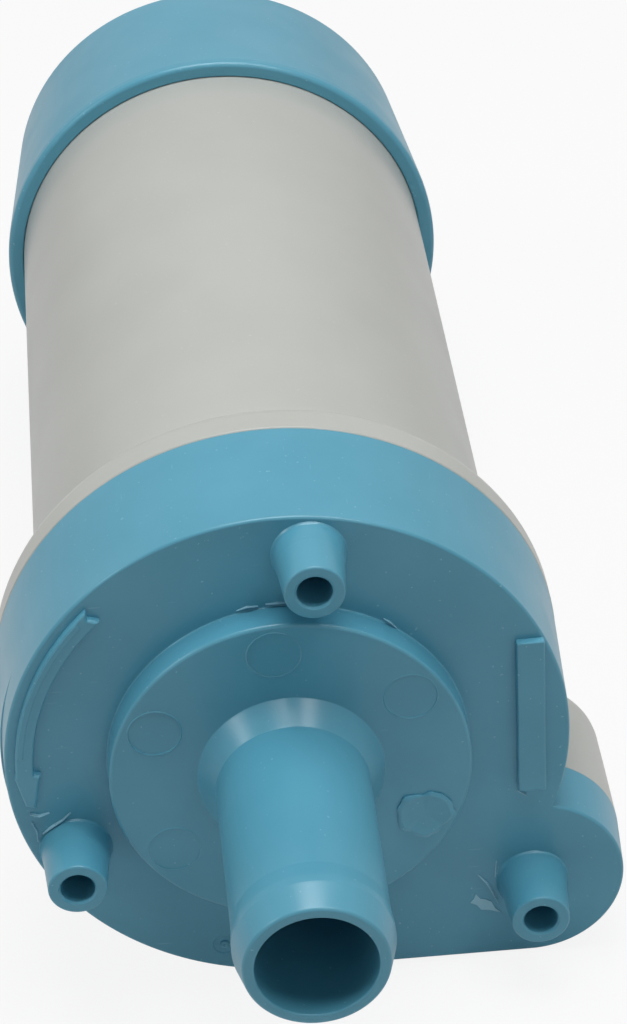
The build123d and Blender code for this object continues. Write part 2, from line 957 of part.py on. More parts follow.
def gland_nut():
    front = gland_boss_end - nut_lap
    back = gland_boss_end + gland_head_thickness + nut_end_wall
    hexagon = RegularPolygon(nut_flats / 2, 6, major_radius=False)
    body = prism(hexagon, front, back)
    body -= disc(gland_boss + skirt_fit, front - overrun, gland_boss_end + gland_head_thickness)
    body -= disc(nut_hole, front, back + overrun)
    return around(body, lead_tube_up, 90)


def all_pieces():
    # Every node with its solids, from the front to the back
    screws = [around(pod_screw(), pod_post_place, angle) for angle in pod_post_angles]
    groove_outer = cover_inner - cover_seal_section
    rear_groove_outer = rear_spigot_radius + skirt_fit - cap_seal_section
    lid_groove = pod_inner - lid_seal_section
    tube_groove = lead_tube_radius + fit - tube_seal_section
    tube_ring = seal_ring(tube_groove, tube_seal_section, lead_tube_end - tube_seal_inset)
    pod_ring = seal_ring(pod_seal_radius + pod_seal_section, pod_seal_section, seal_boss_end - pod_seal_section)
    return {
        "inlet_cover": inlet_cover(),
        "pump_housing": pump_housing(),
        "outlet_cap": outlet_cap(),
        "impeller": impeller(),
        "impeller_clip": impeller_clip(),
        "volute_plate": volute_plate(),
        "shaft_seal": shaft_seal(),
        "seal_spring": seal_spring(),
        "cover_seal": seal_ring(groove_outer, cover_seal_section, cover_seal_place),
        "cap_seal": seal_ring(rear_groove_outer, cap_seal_section, cap_seal_place),
        "pod_seal": pod_ring,
        "lid_seal": seal_ring(lid_groove, lid_seal_section, pod_end - lid_plug / 2),
        "tube_seal": around(tube_ring, lead_tube_up, 90),
        "motor_pod": motor_pod(),
        "pod_lid": pod_lid(),
        "pod_screws": screws,
        "motor_can": motor_can(),
        "field_magnets": field_magnets(),
        "magnet_clips": magnet_clips(),
        "front_bush": bush(neck_front, bush_front_length),
        "rear_bush": bush(rear_bush_front, bush_rear_length),
        "motor_shaft": motor_shaft(),
        "armature_core": armature_core(),
        "armature_windings": armature_coils(),
        "commutator": commutator(),
        "thrust_washers": thrust_washers(),
        "end_bell": end_bell(),
        "brushes": brushes(),
        "brush_arms": brush_arms(),
        "terminals": terminals(),
        "suppressor": suppressor(),
        "cable_gland": cable_gland(),
        "gland_nut": gland_nut(),
    }


def write_pieces():
    # Moves the origin to the raised disc and writes one file for each node
    os.makedirs("parts", exist_ok=True)
    for name, made in all_pieces().items():
        solids = made if isinstance(made, list) else [made]
        placed = [Pos(0, boss_rise, 0) * solid for solid in solids]
        whole = placed[0] if len(placed) == 1 else Compound(children=placed)
        export_step(whole, "parts/" + name + ".step")
        print(name, len(placed), round(whole.volume))


write_pieces()
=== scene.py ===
# Looks of the in-line water pump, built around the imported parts.
# Sizes are in millimetres where no note says otherwise: across is X, along is Y, up is Z.
# Angles are in degrees; in the front view 0 is to the right and 90 is up.

import json
import math
import random

import bpy
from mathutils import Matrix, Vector


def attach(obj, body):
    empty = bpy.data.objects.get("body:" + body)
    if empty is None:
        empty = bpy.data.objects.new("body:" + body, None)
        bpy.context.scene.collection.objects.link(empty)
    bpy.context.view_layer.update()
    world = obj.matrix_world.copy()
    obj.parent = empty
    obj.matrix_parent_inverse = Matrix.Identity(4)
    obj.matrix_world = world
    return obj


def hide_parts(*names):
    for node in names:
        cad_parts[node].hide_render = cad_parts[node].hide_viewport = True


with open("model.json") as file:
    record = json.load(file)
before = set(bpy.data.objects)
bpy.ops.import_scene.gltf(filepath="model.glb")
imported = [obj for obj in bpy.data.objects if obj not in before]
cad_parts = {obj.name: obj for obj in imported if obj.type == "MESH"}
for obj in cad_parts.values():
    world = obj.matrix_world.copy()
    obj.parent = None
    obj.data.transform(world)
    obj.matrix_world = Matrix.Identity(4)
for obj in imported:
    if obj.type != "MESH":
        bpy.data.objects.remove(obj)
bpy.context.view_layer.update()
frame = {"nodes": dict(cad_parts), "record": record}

mm = 0.001                # one millimetre in the scene
joinReach = 0.0015        # points nearer than this are one
arcSteps = 6              # parts of a rounded corner
bodySteps = 240           # parts of a full turn, for the large round bodies
lobeSteps = 192           # the same for the lobe and its cup
smallSteps = 96           # the same for the posts, the boss, the gland and its nut
smoothUnder = 18          # edges that bend by fewer degrees are shaded smooth
overrun = 1               # how far a cutting shape runs past what it cuts
print("frame loaded:", len(frame["nodes"]), "nodes")


# Small helpers

def clearSelection():
    if bpy.context.mode != "OBJECT":
        bpy.ops.object.mode_set(mode="OBJECT")
    bpy.ops.object.select_all(action="DESELECT")


def workOn(piece):
    clearSelection()
    bpy.context.view_layer.objects.active = piece
    piece.select_set(True)


def around(place, angle):
    # Across and up of a point that far from the axis, in that direction of the front view
    return place * math.cos(math.radians(angle)), place * math.sin(math.radians(angle))


def spread(first, last, steps):
    # Even values from first to last
    return [first + (last - first) * step / steps for step in range(steps + 1)]


def softened(corners):
    # The corners of a closed line; one with a third number is rounded by that radius
    line = []
    for number, corner in enumerate(corners):
        here = Vector(corner[:2])
        if len(corner) < 3:
            line.append(here)
            continue
        back = (Vector(corners[number - 1][:2]) - here).normalized()
        onward = (Vector(corners[(number + 1) % len(corners)][:2]) - here).normalized()
        half = back.angle(onward) / 2
        centre = here + (back + onward).normalized() * corner[2] / math.sin(half)
        start = here + back * corner[2] / math.tan(half) - centre
        end = here + onward * corner[2] / math.tan(half) - centre
        turn = math.atan2(start.x * end.y - start.y * end.x, start.dot(end))
        for step in range(arcSteps + 1):
            swing = turn * step / arcSteps
            line.append(centre + Vector((
                start.x * math.cos(swing) - start.y * math.sin(swing),
                start.x * math.sin(swing) + start.y * math.cos(swing),
            )))
    return line


def firstPoint(name, place):
    # A plane merged to one point, from which the outline is pulled
    clearSelection()
    bpy.ops.mesh.primitive_plane_add(size=mm)
    piece = bpy.context.object
    piece.name = piece.data.name = name
    bpy.ops.object.mode_set(mode="EDIT")
    bpy.ops.mesh.select_mode(type="VERT")
    bpy.ops.mesh.select_all(action="SELECT")
    bpy.ops.mesh.merge(type="CENTER")
    bpy.ops.transform.translate(value=Vector(place) * mm)
    return piece


def pullLine(points):
    # The outline, point by point and back to its start
    for last, point in zip(points, points[1:] + points[:1]):
        step = (Vector(point) - Vector(last)) * mm
        bpy.ops.mesh.extrude_vertices_move(TRANSFORM_OT_translate={"value": step})
    bpy.ops.mesh.select_all(action="SELECT")
    bpy.ops.mesh.remove_doubles(threshold=joinReach * mm)


def tidyShell():
    bpy.ops.mesh.select_all(action="SELECT")
    bpy.ops.mesh.remove_doubles(threshold=joinReach * mm)
    bpy.ops.mesh.normals_make_consistent(inside=False)
    bpy.ops.object.mode_set(mode="OBJECT")


def turnPiece(name, corners, steps, axis=(0, 0)):
    # A closed profile of (radius, along), turned about a line along the pump
    points = [(axis[0] + p.x, p.y, axis[1]) for p in softened(corners)]
    piece = firstPoint(name, points[0])
    pullLine(points)
    bpy.ops.mesh.spin(steps=steps, angle=2 * math.pi, center=(axis[0] * mm, 0, axis[1] * mm), axis=(0, 1, 0))
    tidyShell()
    return piece


def slabPiece(name, points, reach, edge=0):
    # A flat closed line pulled out by reach; its far edge is rounded by edge
    piece = firstPoint(name, points[0])
    pullLine(points)
    bpy.ops.mesh.edge_face_add()
    bpy.ops.mesh.extrude_region_move(TRANSFORM_OT_translate={"value": Vector(reach) * mm})
    if edge:
        bpy.ops.mesh.bevel(offset=edge * mm, segments=3, affect="EDGES")
    tidyShell()
    return piece


def combine(piece, tools, operation):
    # Each tool joins the piece, cuts it or trims it to what both share, and is then removed
    for tool in tools:
        workOn(piece)
        change = piece.modifiers.new("Combine", "BOOLEAN")
        change.operation = operation
        change.solver = "MANIFOLD"
        change.object = tool
        bpy.ops.object.modifier_apply(modifier=change.name)
        bpy.data.objects.remove(tool)


def finishPiece(piece, slot, nodes, finish=None):
    # Finish, clean mesh, smooth shading that keeps flat faces flat, and its place in the pump
    piece.data.materials.clear()
    piece.data.materials.append(finish or finishes[slot])
    for polygon in piece.data.polygons:
        polygon.material_index = 0
    workOn(piece)
    bpy.ops.object.mode_set(mode="EDIT")
    bpy.ops.mesh.select_all(action="SELECT")
    bpy.ops.mesh.remove_doubles(threshold=joinReach * mm)
    bpy.ops.mesh.dissolve_degenerate(threshold=joinReach * mm)
    bpy.ops.object.mode_set(mode="OBJECT")
    bpy.ops.object.shade_smooth_by_angle(angle=math.radians(smoothUnder))
    shading = piece.modifiers.new("Shading", "WEIGHTED_NORMAL")
    shading.keep_sharp = True
    bpy.ops.object.modifier_apply(modifier=shading.name)
    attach(piece, "casing")
    if nodes:
        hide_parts(*nodes)
    print(piece.name, "made:", len(piece.data.polygons), "faces")


# Finishes

noiseSpan = {"From Min": 0.3, "From Max": 0.7}      # most of a noise lies between these levels


def linear(colour):
    # A screen colour as the shader's own numbers
    return [((c / 255 + 0.055) / 1.055) ** 2.4 if c > 10 else c / 255 / 12.92 for c in colour] + [1]


class Sketch:
    # Short hand for building a finish node by node
    def __init__(self, name):
        self.finish = bpy.data.materials.new(name)
        self.finish.use_nodes = True
        self.tree = self.finish.node_tree
        self.skin = self.tree.nodes["Principled BSDF"]
        self.place = self.tree.nodes.new("ShaderNodeTexCoord").outputs["Object"]

    def add(self, kind, inputs=(), **settings):
        node = self.tree.nodes.new("ShaderNode" + kind)
        for key, value in settings.items():
            setattr(node, key, value)
        for key, value in dict(inputs).items():
            self.plug(node.inputs[key], value)
        return node

    def plug(self, socket, value):
        if isinstance(value, bpy.types.NodeSocket):
            self.tree.links.new(value, socket)
        else:
            socket.default_value = value

    def noise(self, size, detail=2, roughness=0.5, distortion=0.0, stretch=(1, 1, 1)):
        # Noise whose spots are about size mm wide
        where = self.add("Mapping", {"Vector": self.place, "Scale": stretch})
        cloud = self.add("TexNoise", {
            "Vector": where.outputs[0], "Scale": 1 / (size * mm), "Detail": detail,
            "Roughness": roughness, "Distortion": distortion,
        })
        return cloud.outputs["Fac"]

    def ramp(self, value, low, high):
        # Black up to the low level and white from the high one
        node = self.add("ValToRGB", {"Fac": value})
        black, white = node.color_ramp.elements
        black.position = low
        white.position = high
        return node.outputs["Color"]

    def math(self, operation, a, b):
        node = self.add("Math", operation=operation)
        self.plug(node.inputs[0], a)
        self.plug(node.inputs[1], b)
        return node.outputs[0]

    def range(self, value, low, high):
        node = self.add("MapRange", {"Value": value, **noiseSpan, "To Min": low, "To Max": high})
        return node.outputs[0]

    def mix(self, share, a, b):
        node = self.add("Mix", data_type="RGBA")
        self.plug(node.inputs["Factor"], share)
        self.plug(node.inputs["A"], a)
        self.plug(node.inputs["B"], b)
        return node.outputs["Result"]

    def bump(self, height, depth, strength, under=None):
        # Relief of depth mm, on top of another relief
        node = self.add("Bump", {"Height": height, "Strength": strength, "Distance": depth * mm})
        if under is not None:
            self.plug(node.inputs["Normal"], under)
        return node.outputs["Normal"]


# Grain and wave are the widths of spots; screen colours run from 0 to 255
plasticLook = {
    "bluePlastic": {
        "slot": "blue_plastic", "colour": (87, 157, 181), "deep": (81, 152, 176), "pale": (150, 196, 212),
        "rough": (0.285, 0.36), "grain": 0.35, "grainDepth": 0.010, "wave": 14, "waveDepth": 0.03,
        "scuffAbove": 0.79,
    },
    "greyPlastic": {
        "slot": "grey_plastic", "colour": (183, 185, 180), "deep": (178, 180, 175), "pale": (200, 201, 196),
        "rough": (0.285, 0.33), "grain": 0.6, "grainDepth": 0.004, "wave": 22, "waveDepth": 0.02,
        "scuffAbove": 0.80,
    },
    "blackPlastic": {
        "slot": "black_plastic", "colour": (44, 44, 46), "deep": (36, 36, 38), "pale": (74, 74, 76),
        "rough": (0.38, 0.52), "grain": 0.3, "grainDepth": 0.015, "wave": 9, "waveDepth": 0.02,
        "scuffAbove": 0.75,
    },
    "whitePlastic": {
        "slot": "white_plastic", "colour": (222, 220, 212), "deep": (212, 210, 201), "pale": (234, 232, 226),
        "rough": (0.32, 0.44), "grain": 0.35, "grainDepth": 0.010, "wave": 11, "waveDepth": 0.02,
        "scuffAbove": 0.75,
    },
    "rubber": {
        "slot": "rubber", "colour": (38, 38, 39), "deep": (30, 30, 31), "pale": (58, 58, 58),
        "rough": (0.55, 0.72), "grain": 0.25, "grainDepth": 0.02, "wave": 6, "waveDepth": 0.02,
        "scuffAbove": 0.75,
    },
}
plasticSurface = {
    "toneLevels": (0.35, 0.65), "roughShare": 0.6, "reliefShare": 0.7, "waveBump": 0.5, "grainBump": 0.6,
    "speckSize": 0.55, "speckLevels": (0.755, 0.78), "speckPale": 0.5,
    "scuffLength": 5, "scuffWidth": 0.05, "crossWidth": 1.3, "scuffFade": 0.02,
    "scuffPale": 0.3, "scuffRough": 0.2, "scuffDepth": 0.01, "scuffBump": 0.5, "refraction": 1.49,
}


def plasticScuffs(s, above):
    # Short hairlines along and across the pump, where the noise rises above a level
    k = plasticSurface
    width = k["scuffWidth"]
    marks = []
    for sides in ((width, 1, width), (1, width * k["crossWidth"], width)):
        stretch = [1 / side for side in sides]
        lines = s.noise(k["scuffLength"], detail=1, roughness=0.4, distortion=0.1, stretch=stretch)
        marks.append(s.ramp(lines, above, above + k["scuffFade"]))
    return s.math("MAXIMUM", *marks)


def plasticFinish(name, look):
    # Two close tones in slow waves, with pale specks and scuffs over a fine grain
    s = Sketch(name)
    k = plasticSurface
    flow = s.noise(look["wave"], detail=3)
    tone = s.mix(s.ramp(flow, *k["toneLevels"]), linear(look["deep"]), linear(look["colour"]))
    specks = s.ramp(s.noise(k["speckSize"], detail=1), *k["speckLevels"])
    marks = plasticScuffs(s, look["scuffAbove"])
    paleSpecks = s.math("MULTIPLY", specks, k["speckPale"])
    paleMarks = s.math("MULTIPLY", marks, k["scuffPale"])
    paleShare = s.math("MAXIMUM", paleSpecks, paleMarks)
    s.plug(s.skin.inputs["Base Color"], s.mix(paleShare, tone, linear(look["pale"])))
    rough = s.range(s.noise(look["wave"] * k["roughShare"], detail=1), *look["rough"])
    s.plug(s.skin.inputs["Roughness"], s.math("ADD", rough, s.math("MULTIPLY", marks, k["scuffRough"])))
    waves = s.noise(look["wave"] * k["reliefShare"], detail=1)
    grain = s.noise(look["grain"], detail=3, roughness=0.6)
    relief = s.bump(waves, look["waveDepth"], k["waveBump"])
    relief = s.bump(grain, look["grainDepth"], k["grainBump"], relief)
    relief = s.bump(s.math("SUBTRACT", 1.0, marks), k["scuffDepth"], k["scuffBump"], relief)
    s.plug(s.skin.inputs["Normal"], relief)
    s.skin.inputs["IOR"].default_value = k["refraction"]
    return s.finish


metalLook = {
    "steel": {
        "slot": "steel", "colour": (176, 178, 180), "deep": (150, 152, 155),
        "rough": (0.28, 0.45), "stretch": (1, 12, 1),
    },
    "shaftSteel": {
        "slot": "shaft_steel", "colour": (196, 197, 199), "deep": (176, 177, 180),
        "rough": (0.14, 0.26), "stretch": (1, 14, 1),
    },
    "bronze": {
        "slot": "bronze", "colour": (176, 132, 82), "deep": (146, 105, 62),
        "rough": (0.42, 0.6), "stretch": (1, 1, 1),
    },
    "coreSteel": {
        "slot": "core_steel", "colour": (138, 139, 142), "deep": (96, 97, 100),
        "rough": (0.42, 0.58), "stretch": (0.02, 6, 0.02),
    },
    "copper": {
        "slot": "copper", "colour": (196, 112, 70), "deep": (140, 66, 36),
        "rough": (0.28, 0.42), "stretch": (1, 1, 1),
    },
    "brass": {
        "slot": "brass", "colour": (204, 172, 98), "deep": (176, 142, 72),
        "rough": (0.24, 0.4), "stretch": (6, 1, 6),
    },
}
metalSurface = {
    "lineSize": 1.4, "lineLevels": (0.3, 0.7), "lineDepth": 0.01, "lineBump": 0.6,
    "cloudSize": 7, "cloudShare": 0.35,
}


def metalFinish(name, look):
    # Tool lines in one direction under a slow cloud
    s = Sketch(name)
    k = metalSurface
    lines = s.noise(k["lineSize"], detail=5, roughness=0.65, stretch=look["stretch"])
    cloud = s.noise(k["cloudSize"], detail=3)
    tone = s.mix(s.ramp(lines, *k["lineLevels"]), linear(look["deep"]), linear(look["colour"]))
    s.plug(s.skin.inputs["Base Color"], s.mix(s.range(cloud, 0, k["cloudShare"]), tone, linear(look["deep"])))
    s.plug(s.skin.inputs["Roughness"], s.range(cloud, *look["rough"]))
    s.plug(s.skin.inputs["Normal"], s.bump(lines, k["lineDepth"], k["lineBump"]))
    s.skin.inputs["Metallic"].default_value = 1
    return s.finish


darkLook = {
    "magnet": {"slot": "magnet", "colour": (66, 66, 69), "deep": (44, 44, 47), "rough": (0.5, 0.68)},
    "carbon": {"slot": "carbon", "colour": (48, 47, 47), "deep": (32, 31, 31), "rough": (0.46, 0.62)},
}
darkSurface = {"grain": 0.35, "pores": 0.5, "poreLevels": (0.28, 0.36), "depth": 0.04, "bump": 0.7}


def darkFinish(name, look):
    # Pressed powder: a fine grain with tiny open pores
    s = Sketch(name)
    k = darkSurface
    grain = s.noise(k["grain"], detail=5, roughness=0.7)
    pores = s.ramp(s.noise(k["pores"]), *k["poreLevels"])
    s.plug(s.skin.inputs["Base Color"], s.mix(grain, linear(look["deep"]), linear(look["colour"])))
    s.plug(s.skin.inputs["Roughness"], s.range(grain, *look["rough"]))
    s.plug(s.skin.inputs["Normal"], s.bump(s.math("MULTIPLY", grain, pores), k["depth"], k["bump"]))
    return s.finish


finishes = {}
for makeFinish, looks in ((plasticFinish, plasticLook), (metalFinish, metalLook), (darkFinish, darkLook)):
    for name, look in looks.items():
        finishes[look["slot"]] = makeFinish(name, look)
for subpart in frame["record"]["subparts"]:
    node = frame["nodes"][subpart["node"]]
    node.data.materials.clear()
    node.data.materials.append(finishes[subpart["material_slot"]])
print("finishes made:", len(finishes))


# Camera

view = {
    "place": (-14.52, -331.25, 258.98), "turn": (56.307, 2.567, -4.984), "lens": 120.4, "sensor": 36,
    "near": 0.01,                                  # in metres
}


def addCamera():
    cameraData = bpy.data.cameras.new("camera")
    cameraData.lens = view["lens"]
    cameraData.sensor_width = view["sensor"]
    cameraData.clip_start = view["near"]
    camera = bpy.data.objects.new("camera", cameraData)
    bpy.context.scene.collection.objects.link(camera)
    camera.location = Vector(view["place"]) * mm
    camera.rotation_euler = [math.radians(angle) for angle in view["turn"]]
    bpy.context.scene.camera = camera


addCamera()
print("camera placed")


# Inlet cover: face plate with skirt, swell and lobe, raised disc, suction nozzle, posts and raised marks

cover = {
    "face": 4.0, "radius": 35.0, "plate": 2.6, "skirtEnd": 22.4, "growth": 0.95, "wall": 2.2,
    "edge": 0.42, "skirtRound": 0.2, "markRoot": 0.5,
    "swell": (0.8, 248.3),                         # how far off the axis, and which way
    "swellRadius": 35.25, "swellFront": 8.5, "swellEdge": 0.25,
    "lobe": (30.05, -23.55),                       # across and up
    "lobeRadius": 11.8, "lobeGrowth": 0.6, "lobeEnd": 12.2,
    "disc": 22.35, "discEdge": 0.5, "discFoot": 0.2,
}
nozzle = {
    "tip": -36.0, "tipRadius": 8.55, "tipRound": 0.5, "bore": 7.2, "boreRound": 0.25,
    "crest": 9.55, "crestFront": -32.1, "crestBack": -30.9, "crestRounds": (1.0, 0.4),
    "waist": 9.38, "waistFront": -28.5, "waistRound": 1.2,
    "tube": 9.5, "foot": 11.55, "footFront": -3.15, "footRounds": (0.4, 0.15),
}
post = {
    "place": 29.75, "angles": (82.6, 203.4), "root": 5.5, "flare": 4.75, "flareAlong": 4.15,
    "foot": 4.45, "footAlong": 3.72, "footRound": 0.5,
    "shoulder": 4.1, "shoulderAlong": 1.2, "shoulderRound": 2.0,
    "tip": -4.2, "tipRadius": 3.65, "tipRound": 0.3,
    "hole": 2.15, "holeEnd": 4.8, "holeCone": 0.4, "mouth": 0.3, "mouthDepth": 0.25, "mouthPast": 0.05,
}
bar = {"middle": (30.1, 2.9), "size": (3.5, 22.9), "corner": 0.3, "rise": 1.0, "edge": 0.28}
arrow = {
    "inner": 31.45, "outer": 33.7, "tail": 133.5, "notch": (32.75, 134.7), "neck": 178.6, "steps": 20,
    "head": [(33.85, 179.4), (33.1, 186.9), (31.9, 188.0), (30.65, 178.9)], "rise": 1.0, "edge": 0.35,
    "ridge": (32.75, 33.45), "ridgeTurn": (137, 174), "ridgeRise": 1.09, "ridgeEdge": 0.08,
}
pinMarks = {
    "radius": 3.25, "place": 18.1, "first": 34, "apart": 60, "steps": 80,
    "depths": (0.05, 0.08, 0.09, 0.07, 0.05), "slope": 0.08,
    "lips": (0.05, 0.07, 0.09, 0.06, 0.05), "lipRoot": 0.1, "lipGap": 0.01, "lipWidth": 0.16, "lipFoot": 0.02,
}
flap = {
    "turn": 333.7, "steps": 90, "rise": 0.4, "root": 0.3, "rootPast": 0.1,
    "rim": 0.25, "rimShare": 0.6, "rimRounds": (0.08, 0.1),
    "dish": 0.6, "dishShare": 0.45, "middleShare": 0.5,
    "seed": 7, "waveCounts": (2, 3, 5, 8, 13), "waveSizes": (0.02, 0.09), "waveStarts": (0, 6.3),
    "waveReach": 0.65, "waveRise": 2.2,
}
gate = {
    "at": (-9.7, -29.8), "radius": 1.55, "depth": 0.16, "slope": 0.15, "steps": 64,
    "nub": 0.55, "nubRise": 0.2, "nubRoot": 0.5, "nubSpread": 0.15, "nubSideShare": 0.4, "nubTopShare": 0.4,
    "nubRounds": (0.08, 0.05), "nubPit": 0.05, "nubSteps": 24,
}


def skirtShape(name, extra):
    # Round skirt with its draft, larger by extra
    c = cover
    return turnPiece(name, [
        (0, c["face"]), (c["radius"] + extra, c["face"], c["edge"]),
        (c["radius"] + c["growth"] + extra, c["skirtEnd"]), (0, c["skirtEnd"]),
    ], bodySteps)


def swellShape(name, extra=0.0):
    # Round swell of the skirt, off the axis and larger by extra
    c = cover
    radius = c["swellRadius"] + extra
    return turnPiece(name, [
        (0, c["swellFront"]), (radius, c["swellFront"], c["swellEdge"]),
        (radius, c["skirtEnd"]), (0, c["skirtEnd"]),
    ], bodySteps, around(*c["swell"]))


def lobeParts(name, profile, reach, facing=-90):
    # A profile turned about the lobe's axis and drawn out straight along the underside,
    # which faces the given angle of the front view
    roundPart = turnPiece(name + "Round", profile, lobeSteps, cover["lobe"])
    across, up = cover["lobe"]
    x, z = around(1, facing)
    left, rise = around(reach, facing - 90)
    section = [(across + p.x * x, p.y, up + p.x * z) for p in softened(profile)]
    flatPart = slabPiece(name + "Flat", section, (left, 0, rise))
    combine(roundPart, [flatPart], "UNION")
    return roundPart


def raisedMark(name, outline, root, rise, edge=0):
    # An outline of (across, up) that starts inside the cover's plate and stands out of its face
    points = [(x, cover["face"] + root, z) for x, z in outline]
    return slabPiece(name, points, (0, -root - rise, 0), edge)


def addPosts(body):
    # Hollow tapered posts with a flared foot: two on the face and one on the lobe
    p = post
    places = [around(p["place"], angle) for angle in p["angles"]] + [cover["lobe"]]
    shapes = [turnPiece("post", [
        (0, p["root"]), (p["flare"], p["root"]), (p["flare"], p["flareAlong"]),
        (p["foot"], p["footAlong"], p["footRound"]), (p["shoulder"], p["shoulderAlong"], p["shoulderRound"]),
        (p["tipRadius"], p["tip"], p["tipRound"]), (0, p["tip"]),
    ], smallSteps, place) for place in places]
    combine(body, shapes, "UNION")
    mouth = p["hole"] + p["mouth"]
    holes = [turnPiece("hole", [
        (0, p["holeEnd"] + p["holeCone"]), (p["hole"], p["holeEnd"]), (p["hole"], p["tip"] + p["mouthDepth"]),
        (mouth, p["tip"] - p["mouthPast"]), (mouth, p["tip"] - overrun), (0, p["tip"] - overrun),
    ], smallSteps, place) for place in places]
    combine(body, holes, "DIFFERENCE")


def barOutline():
    across, up = bar["middle"]
    w, h = bar["size"][0] / 2, bar["size"][1] / 2
    corners = [(-w, -h), (w, -h), (w, h), (-w, h)]
    return [(across + p.x, up + p.y) for p in softened([(x, z, bar["corner"]) for x, z in corners])]


def arrowOutline():
    # A curved arrow with a notched tail, round the axis
    sweep = spread(arrow["tail"], arrow["neck"], arrow["steps"])
    points = [around(arrow["outer"], angle) for angle in sweep]
    points += [around(*corner) for corner in arrow["head"]]
    points += [around(arrow["inner"], angle) for angle in reversed(sweep)]
    points.append(around(*arrow["notch"]))
    return points


def ridgeOutline():
    # A low ridge along the outer third of the arrow
    low, high = arrow["ridge"]
    sweep = spread(*arrow["ridgeTurn"], arrow["steps"])
    return [around(high, angle) for angle in sweep] + [around(low, angle) for angle in reversed(sweep)]


def addPinMarks(body):
    # Round prints left by the mould's ejector pins, each with a thin lip
    m = pinMarks
    inside, outside = m["radius"] + m["lipGap"], m["radius"] + m["lipWidth"]
    prints, lips = [], []
    for number, (depth, lip) in enumerate(zip(m["depths"], m["lips"])):
        place = around(m["place"], m["first"] + m["apart"] * number)
        prints.append(turnPiece("pinMark", [
            (0, -overrun), (m["radius"], -overrun), (m["radius"], 0),
            (m["radius"] - m["slope"], depth), (0, depth),
        ], m["steps"], place))
        lips.append(turnPiece("pinLip", [
            (inside, m["lipRoot"]), (inside, -lip), (outside, m["lipFoot"]), (outside, m["lipRoot"]),
        ], m["steps"], place))
    combine(body, lips, "UNION")
    combine(body, prints, "DIFFERENCE")


def addFlap(body):
    # The sixth print is covered by a thin flap of flash with a ragged rim
    f = flap
    radius = pinMarks["radius"]
    place = around(pinMarks["place"], f["turn"])
    piece = turnPiece("flap", [
        (0, f["root"]), (radius + f["rootPast"], f["root"]),
        (radius + f["rim"], -f["rise"] * f["rimShare"], f["rimRounds"][0]),
        (radius - f["rim"], -f["rise"], f["rimRounds"][1]),
        (radius * f["dish"], -f["rise"] * f["dishShare"]), (0, -f["rise"] * f["middleShare"]),
    ], f["steps"], place)
    chance = random.Random(f["seed"])
    waves = [
        (count, chance.uniform(*f["waveSizes"]), chance.uniform(*f["waveStarts"]))
        for count in f["waveCounts"]
    ]
    for vertex in piece.data.vertices:
        x, z = vertex.co.x - place[0] * mm, vertex.co.z - place[1] * mm
        turn = math.atan2(z, x)
        wave = sum(size * math.sin(count * turn + start) for count, size, start in waves)
        reach = math.hypot(x, z) / (radius * mm)
        swell = 1 + wave * f["waveReach"] * reach ** 4
        vertex.co.x, vertex.co.z = place[0] * mm + x * swell, place[1] * mm + z * swell
        if vertex.co.y < 0:
            vertex.co.y *= 1 + wave * f["waveRise"]
    combine(body, [piece], "UNION")


def addGate(body):
    # The sprue's foot: a shallow round pit with a torn nub
    g = gate
    face = cover["face"]
    pit = turnPiece("gatePit", [
        (0, face - overrun), (g["radius"], face - overrun), (g["radius"], face),
        (g["radius"] - g["slope"], face + g["depth"]), (0, face + g["depth"]),
    ], g["steps"], g["at"])
    combine(body, [pit], "DIFFERENCE")
    nub = turnPiece("gateNub", [
        (0, face + g["nubRoot"]), (g["nub"] + g["nubSpread"], face + g["nubRoot"]),
        (g["nub"], face - g["nubRise"] * g["nubSideShare"], g["nubRounds"][0]),
        (g["nub"] * g["nubTopShare"], face - g["nubRise"], g["nubRounds"][1]),
        (0, face + g["nubPit"]),
    ], g["nubSteps"], g["at"])
    combine(body, [nub], "UNION")


